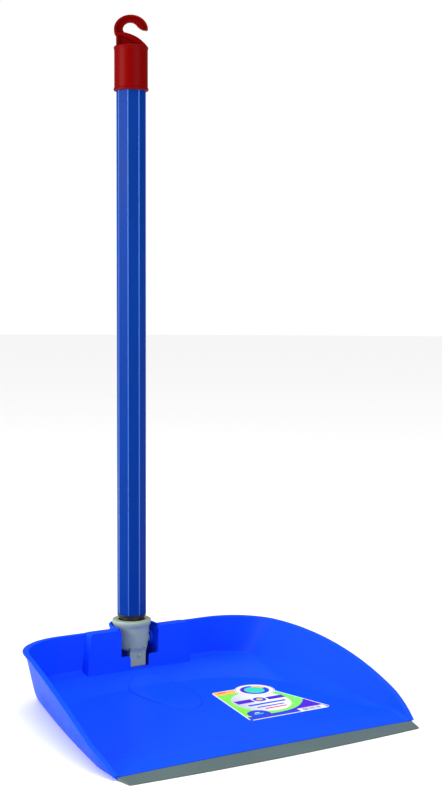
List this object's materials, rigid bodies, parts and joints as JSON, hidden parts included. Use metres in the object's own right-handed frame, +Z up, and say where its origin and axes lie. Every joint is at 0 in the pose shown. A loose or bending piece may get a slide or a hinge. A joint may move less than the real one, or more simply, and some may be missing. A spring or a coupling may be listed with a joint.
{
  "type": "dust pan",
  "caption": "Long-handled dust pan with flared side walls, a soft front lip, a folding swivel socket and an upright tube handle with a hanging hook.",
  "frame": {"origin": "centre of the footprint on the floor, midway between the lip's front edge and the back of the socket pocket", "axes": "+Z up along the upright handle, the front lip towards -Y, +X to the right seen from the front"},
  "size_m": [0.277, 0.2632, 0.5723],
  "materials": {
    "pan_plastic": "satin",
    "lip_rubber": "matte",
    "label_film": "printed film",
    "socket_plastic": "satin",
    "ferrule_plastic": "satin",
    "tube_steel": "bare",
    "sleeve_plastic": "gloss",
    "cap_plastic": "gloss"
  },
  "bodies": {
    "pan": {"pan_body": "pan_plastic", "front_lip": "lip_rubber", "product_label": "label_film"},
    "handle": {"swivel_socket": "socket_plastic", "thread_ferrule": "ferrule_plastic", "handle_tube": "tube_steel", "tube_sleeve": "sleeve_plastic", "hanging_cap": "cap_plastic"}
  },
  "joints": [
    {"name": "handle_swing", "type": "hinge", "parent": "pan", "child": "handle", "pos_m": [0, 0.112, 0.036], "axis": [1, 0, 0], "range_deg": [0, 60]}
  ]
}
